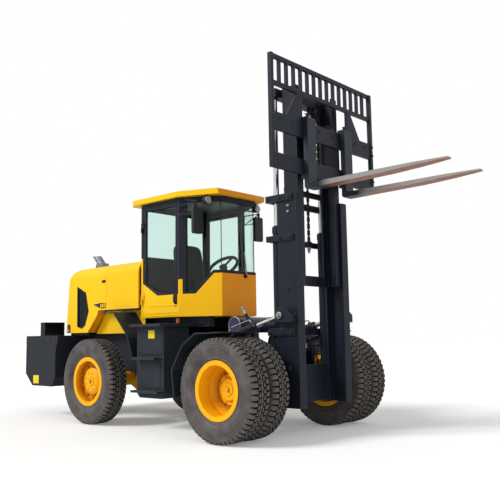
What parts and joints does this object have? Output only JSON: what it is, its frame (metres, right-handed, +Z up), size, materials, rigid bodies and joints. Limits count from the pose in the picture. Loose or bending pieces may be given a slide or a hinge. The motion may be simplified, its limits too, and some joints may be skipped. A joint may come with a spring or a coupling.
{
  "type": "rough terrain forklift",
  "caption": "Articulated rough terrain forklift with cab, engine hood, counterweight, twin front wheels, two-stage mast, carriage with grille backrest and raised forks.",
  "frame": {"origin": "on the ground under the centre of the bounding box", "axes": "+X forward along the forks, +Y to the left, +Z up"},
  "size_m": [6.225, 2.294, 3.812],
  "materials": {
    "yellow_paint": "satin",
    "dark_paint": "satin",
    "frame_grey": "satin",
    "cast_grey": "satin",
    "tyre_rubber": "matte",
    "window_glass": "gloss",
    "chrome_rod": "gloss",
    "seat_vinyl": "matte",
    "trim_plastic": "matte",
    "fork_steel": "satin",
    "exhaust_steel": "brushed",
    "chain_steel": "satin",
    "tank_blue": "satin"
  },
  "bodies": {
    "rear_frame": {"rear_frame": "frame_grey", "counterweight": "cast_grey", "rear_lamp_boxes": "dark_paint", "engine_block": "dark_paint", "hood_cowl": "yellow_paint", "rear_fenders": "frame_grey", "side_tanks": "frame_grey", "cab_body": "yellow_paint", "cab_frame": "trim_plastic", "cab_glass": "window_glass", "cab_roof": "yellow_paint", "cab_seat": "seat_vinyl", "cab_controls": "trim_plastic", "mirrors": "trim_plastic", "work_lamps": "trim_plastic", "rear_axle": "yellow_paint"},
    "hood": {"engine_hood": "yellow_paint", "hood_grilles": "dark_paint", "exhaust_tail": "exhaust_steel"},
    "door_right": {"door_right_panel": "yellow_paint", "door_right_frame": "trim_plastic", "door_right_glass": "window_glass"},
    "door_left": {"door_left_panel": "yellow_paint", "door_left_frame": "trim_plastic", "door_left_glass": "window_glass"},
    "front_frame": {"front_frame": "dark_paint", "front_axle": "dark_paint", "front_fenders": "frame_grey", "air_tank": "tank_blue"},
    "front_right_wheel": {"front_right_tyres": "tyre_rubber", "front_right_rims": "yellow_paint"},
    "front_left_wheel": {"front_left_tyres": "tyre_rubber", "front_left_rims": "yellow_paint"},
    "rear_right_wheel": {"rear_right_tyre": "tyre_rubber", "rear_right_rim": "yellow_paint"},
    "rear_left_wheel": {"rear_left_tyre": "tyre_rubber", "rear_left_rim": "yellow_paint"},
    "mast_outer": {"outer_mast": "dark_paint", "lift_barrels": "dark_paint", "lift_chains_rear": "chain_steel"},
    "mast_inner": {"inner_mast": "dark_paint", "lift_rods": "chrome_rod", "lift_chains_front": "chain_steel"},
    "carriage": {"fork_carriage": "dark_paint", "load_backrest": "dark_paint", "forks": "fork_steel"},
    "tilt_barrel_right": {"tilt_barrel_right": "dark_paint"},
    "tilt_barrel_left": {"tilt_barrel_left": "dark_paint"},
    "tilt_rod_right": {"tilt_rod_right": "chrome_rod"},
    "tilt_rod_left": {"tilt_rod_left": "chrome_rod"},
    "steer_barrel_right": {"steer_barrel_right": "dark_paint"},
    "steer_barrel_left": {"steer_barrel_left": "dark_paint"},
    "steer_rod_right": {"steer_rod_right": "chrome_rod"},
    "steer_rod_left": {"steer_rod_left": "chrome_rod"}
  },
  "joints": [
    {"name": "articulation", "type": "hinge", "parent": "rear_frame", "child": "front_frame", "pos_m": [-0.2025, 0, 0.657], "axis": [0, 0, 1], "range_deg": [-35, 35]},
    {"name": "front_right_wheel_spin", "type": "hinge", "parent": "front_frame", "child": "front_right_wheel", "pos_m": [0.9875, -0.8725, 0.511], "axis": [0, 1, 0], "continuous": true},
    {"name": "rear_right_wheel_spin", "type": "hinge", "parent": "rear_frame", "child": "rear_right_wheel", "pos_m": [-1.3985, -0.84, 0.511], "axis": [0, 1, 0], "continuous": true},
    {"name": "front_left_wheel_spin", "type": "hinge", "parent": "front_frame", "child": "front_left_wheel", "pos_m": [0.9875, 0.8725, 0.511], "axis": [0, 1, 0], "continuous": true},
    {"name": "rear_left_wheel_spin", "type": "hinge", "parent": "rear_frame", "child": "rear_left_wheel", "pos_m": [-1.3985, 0.84, 0.511], "axis": [0, 1, 0], "continuous": true},
    {"name": "mast_tilt", "type": "hinge", "parent": "front_frame", "child": "mast_outer", "pos_m": [1.1275, 0, 0.47], "axis": [0, 1, 0], "range_deg": [-10, 6]},
    {"name": "mast_lift", "type": "slide", "parent": "mast_outer", "child": "mast_inner", "axis": [0, 0, 1], "range_m": [-1.22, 0.28], "deforming": ["lift_chains_rear"]},
    {"name": "carriage_lift", "type": "slide", "parent": "mast_inner", "child": "carriage", "axis": [0, 0, 1], "range_m": [-1.221, 0.281], "deforming": ["lift_chains_front"]},
    {"name": "door_right_swing", "type": "hinge", "parent": "rear_frame", "child": "door_right", "pos_m": [-0.8355, -0.564, 1.9], "axis": [0, 0, -1], "range_deg": [0, 90]},
    {"name": "door_left_swing", "type": "hinge", "parent": "rear_frame", "child": "door_left", "pos_m": [-0.8355, 0.564, 1.9], "axis": [0, 0, 1], "range_deg": [0, 90]},
    {"name": "hood_open", "type": "hinge", "parent": "rear_frame", "child": "hood", "pos_m": [-2.3905, 0, 1.122], "axis": [0, -1, 0], "range_deg": [0, 50]},
    {"name": "tilt_barrel_right_swing", "type": "hinge", "parent": "front_frame", "child": "tilt_barrel_right", "pos_m": [0.5075, -0.5, 1], "axis": [0, 1, 0], "range_deg": [-4.92, 3.07]},
    {"name": "tilt_rod_right_slide", "type": "slide", "parent": "tilt_barrel_right", "child": "tilt_rod_right", "axis": [0.9624, 0, 0.2716], "range_m": [-0.1221, 0.074]},
    {"name": "steer_barrel_right_swing", "type": "hinge", "parent": "rear_frame", "child": "steer_barrel_right", "pos_m": [-0.6525, -0.205, 0.655], "axis": [0, 0, 1], "range_deg": [-16.93, 16.93]},
    {"name": "steer_rod_right_slide", "type": "slide", "parent": "steer_barrel_right", "child": "steer_rod_right", "axis": [1, 0, 0], "range_m": [-0.127, 0.127]},
    {"name": "tilt_barrel_left_swing", "type": "hinge", "parent": "front_frame", "child": "tilt_barrel_left", "pos_m": [0.5075, 0.5, 1], "axis": [0, 1, 0], "range_deg": [-4.92, 3.07]},
    {"name": "tilt_rod_left_slide", "type": "slide", "parent": "tilt_barrel_left", "child": "tilt_rod_left", "axis": [0.9624, 0, 0.2716], "range_m": [-0.1221, 0.074]},
    {"name": "steer_barrel_left_swing", "type": "hinge", "parent": "rear_frame", "child": "steer_barrel_left", "pos_m": [-0.6525, 0.205, 0.655], "axis": [0, 0, 1], "range_deg": [-16.93, 16.93]},
    {"name": "steer_rod_left_slide", "type": "slide", "parent": "steer_barrel_left", "child": "steer_rod_left", "axis": [1, 0, 0], "range_m": [-0.127, 0.127]}
  ],
  "couplings": [
    {"joint": "carriage_lift", "follows": "mast_lift", "ratio": 1},
    {"joint": "tilt_barrel_right_swing", "follows": "mast_tilt", "ratio": 0.46227},
    {"joint": "tilt_rod_right_slide", "follows": "mast_tilt", "m_per_rad": 0.6879},
    {"joint": "steer_barrel_right_swing", "follows": "articulation", "ratio": 0.46956},
    {"joint": "steer_rod_right_slide", "follows": "articulation", "m_per_rad": 0.20298},
    {"joint": "tilt_barrel_left_swing", "follows": "mast_tilt", "ratio": 0.46227},
    {"joint": "tilt_rod_left_slide", "follows": "mast_tilt", "m_per_rad": 0.6879},
    {"joint": "steer_barrel_left_swing", "follows": "articulation", "ratio": 0.46956},
    {"joint": "steer_rod_left_slide", "follows": "articulation", "m_per_rad": -0.20298}
  ]
}
